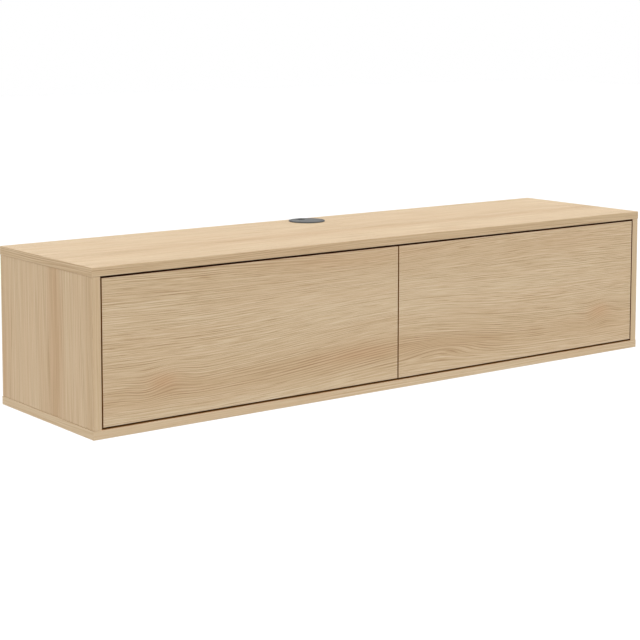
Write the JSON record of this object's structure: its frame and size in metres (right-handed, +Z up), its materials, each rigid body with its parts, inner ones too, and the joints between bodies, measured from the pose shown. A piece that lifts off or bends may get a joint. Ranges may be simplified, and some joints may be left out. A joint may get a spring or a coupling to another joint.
{
  "type": "wall-hung media console",
  "caption": "Wall-hung media console with handleless push-to-open drawers on telescopic runners, a cable grommet and a steel hanging rail.",
  "frame": {"origin": "middle of the wall rail's rear face, on the wall plane", "axes": "+X to the right along the console's length, +Y into the wall, +Z up"},
  "size_m": [1.6, 0.4, 0.3543],
  "materials": {
    "oak_veneer": "light oak veneer, matt lacquer",
    "drawer_wood": "light oak decor, matt",
    "drawer_floor": "light oak decor, matt",
    "back_board": "light oak decor, matt",
    "zinc_steel": "zinc plated, satin",
    "cage_steel": "bright steel",
    "grommet_dark": "dark grey, satin",
    "grommet_grey": "mid grey, satin",
    "latch_plastic": "off-white",
    "latch_tip": "dark, matt"
  },
  "bodies": {
    "cabinet": {"top_panel": "oak_veneer", "bottom_panel": "oak_veneer", "side_panel_left": "oak_veneer", "side_panel_right": "oak_veneer", "centre_partition": "oak_veneer", "back_panel_left": "back_board", "back_panel_right": "back_board", "wall_rail": "zinc_steel", "hanger_body_left": "zinc_steel", "hanger_hook_left": "zinc_steel", "hanger_body_right": "zinc_steel", "hanger_hook_right": "zinc_steel", "grommet_ring": "grommet_dark", "runner_1_outer_member": "zinc_steel", "runner_2_outer_member": "zinc_steel", "runner_3_outer_member": "zinc_steel", "runner_4_outer_member": "zinc_steel", "latch_left_housing": "latch_plastic", "latch_right_housing": "latch_plastic"},
    "drawer_left": {"drawer_left_front": "oak_veneer", "drawer_left_side_left": "drawer_wood", "drawer_left_side_right": "drawer_wood", "drawer_left_back": "drawer_wood", "drawer_left_floor": "drawer_floor", "runner_1_inner_member": "zinc_steel", "runner_2_inner_member": "zinc_steel"},
    "runner_1_outer_cage_body": {"runner_1_outer_cage": "cage_steel"},
    "runner_1_middle_member_body": {"runner_1_middle_member": "zinc_steel"},
    "runner_1_inner_cage_body": {"runner_1_inner_cage": "cage_steel"},
    "runner_2_outer_cage_body": {"runner_2_outer_cage": "cage_steel"},
    "runner_2_middle_member_body": {"runner_2_middle_member": "zinc_steel"},
    "runner_2_inner_cage_body": {"runner_2_inner_cage": "cage_steel"},
    "drawer_right": {"drawer_right_front": "oak_veneer", "drawer_right_side_left": "drawer_wood", "drawer_right_side_right": "drawer_wood", "drawer_right_back": "drawer_wood", "drawer_right_floor": "drawer_floor", "runner_3_inner_member": "zinc_steel", "runner_4_inner_member": "zinc_steel"},
    "runner_3_outer_cage_body": {"runner_3_outer_cage": "cage_steel"},
    "runner_3_middle_member_body": {"runner_3_middle_member": "zinc_steel"},
    "runner_3_inner_cage_body": {"runner_3_inner_cage": "cage_steel"},
    "runner_4_outer_cage_body": {"runner_4_outer_cage": "cage_steel"},
    "runner_4_middle_member_body": {"runner_4_middle_member": "zinc_steel"},
    "runner_4_inner_cage_body": {"runner_4_inner_cage": "cage_steel"},
    "latch_left_plunger_body": {"latch_left_plunger": "latch_tip"},
    "latch_right_plunger_body": {"latch_right_plunger": "latch_tip"},
    "grommet_cap_body": {"grommet_cap": "grommet_grey"}
  },
  "joints": [
    {"name": "drawer_left_slide", "type": "slide", "parent": "cabinet", "child": "drawer_left", "axis": [0, -1, 0], "range_m": [0, 0.25]},
    {"name": "runner_1_outer_cage_slide", "type": "slide", "parent": "cabinet", "child": "runner_1_outer_cage_body", "axis": [0, -1, 0], "range_m": [0, 0.0625]},
    {"name": "runner_1_middle_member_slide", "type": "slide", "parent": "cabinet", "child": "runner_1_middle_member_body", "axis": [0, -1, 0], "range_m": [0, 0.125]},
    {"name": "runner_1_inner_cage_slide", "type": "slide", "parent": "cabinet", "child": "runner_1_inner_cage_body", "axis": [0, -1, 0], "range_m": [0, 0.1875]},
    {"name": "runner_2_outer_cage_slide", "type": "slide", "parent": "cabinet", "child": "runner_2_outer_cage_body", "axis": [0, -1, 0], "range_m": [0, 0.0625]},
    {"name": "runner_2_middle_member_slide", "type": "slide", "parent": "cabinet", "child": "runner_2_middle_member_body", "axis": [0, -1, 0], "range_m": [0, 0.125]},
    {"name": "runner_2_inner_cage_slide", "type": "slide", "parent": "cabinet", "child": "runner_2_inner_cage_body", "axis": [0, -1, 0], "range_m": [0, 0.1875]},
    {"name": "drawer_right_slide", "type": "slide", "parent": "cabinet", "child": "drawer_right", "axis": [0, -1, 0], "range_m": [0, 0.25]},
    {"name": "runner_3_outer_cage_slide", "type": "slide", "parent": "cabinet", "child": "runner_3_outer_cage_body", "axis": [0, -1, 0], "range_m": [0, 0.0625]},
    {"name": "runner_3_middle_member_slide", "type": "slide", "parent": "cabinet", "child": "runner_3_middle_member_body", "axis": [0, -1, 0], "range_m": [0, 0.125]},
    {"name": "runner_3_inner_cage_slide", "type": "slide", "parent": "cabinet", "child": "runner_3_inner_cage_body", "axis": [0, -1, 0], "range_m": [0, 0.1875]},
    {"name": "runner_4_outer_cage_slide", "type": "slide", "parent": "cabinet", "child": "runner_4_outer_cage_body", "axis": [0, -1, 0], "range_m": [0, 0.0625]},
    {"name": "runner_4_middle_member_slide", "type": "slide", "parent": "cabinet", "child": "runner_4_middle_member_body", "axis": [0, -1, 0], "range_m": [0, 0.125]},
    {"name": "runner_4_inner_cage_slide", "type": "slide", "parent": "cabinet", "child": "runner_4_inner_cage_body", "axis": [0, -1, 0], "range_m": [0, 0.1875]},
    {"name": "latch_left_press", "type": "slide", "parent": "cabinet", "child": "latch_left_plunger_body", "axis": [0, 1, 0], "range_m": [0, 0.003], "stiffness_N_per_m": 500, "springref_m": -0.003},
    {"name": "latch_right_press", "type": "slide", "parent": "cabinet", "child": "latch_right_plunger_body", "axis": [0, 1, 0], "range_m": [0, 0.003], "stiffness_N_per_m": 500, "springref_m": -0.003},
    {"name": "grommet_cap_lift", "type": "slide", "parent": "cabinet", "child": "grommet_cap_body", "axis": [0, 0, 1], "range_m": [0, 0.03]}
  ],
  "couplings": [
    {"joint": "runner_1_outer_cage_slide", "follows": "drawer_left_slide", "ratio": 0.25},
    {"joint": "runner_1_middle_member_slide", "follows": "drawer_left_slide", "ratio": 0.5},
    {"joint": "runner_1_inner_cage_slide", "follows": "drawer_left_slide", "ratio": 0.75},
    {"joint": "runner_2_outer_cage_slide", "follows": "drawer_left_slide", "ratio": 0.25},
    {"joint": "runner_2_middle_member_slide", "follows": "drawer_left_slide", "ratio": 0.5},
    {"joint": "runner_2_inner_cage_slide", "follows": "drawer_left_slide", "ratio": 0.75},
    {"joint": "runner_3_outer_cage_slide", "follows": "drawer_right_slide", "ratio": 0.25},
    {"joint": "runner_3_middle_member_slide", "follows": "drawer_right_slide", "ratio": 0.5},
    {"joint": "runner_3_inner_cage_slide", "follows": "drawer_right_slide", "ratio": 0.75},
    {"joint": "runner_4_outer_cage_slide", "follows": "drawer_right_slide", "ratio": 0.25},
    {"joint": "runner_4_middle_member_slide", "follows": "drawer_right_slide", "ratio": 0.5},
    {"joint": "runner_4_inner_cage_slide", "follows": "drawer_right_slide", "ratio": 0.75}
  ]
}
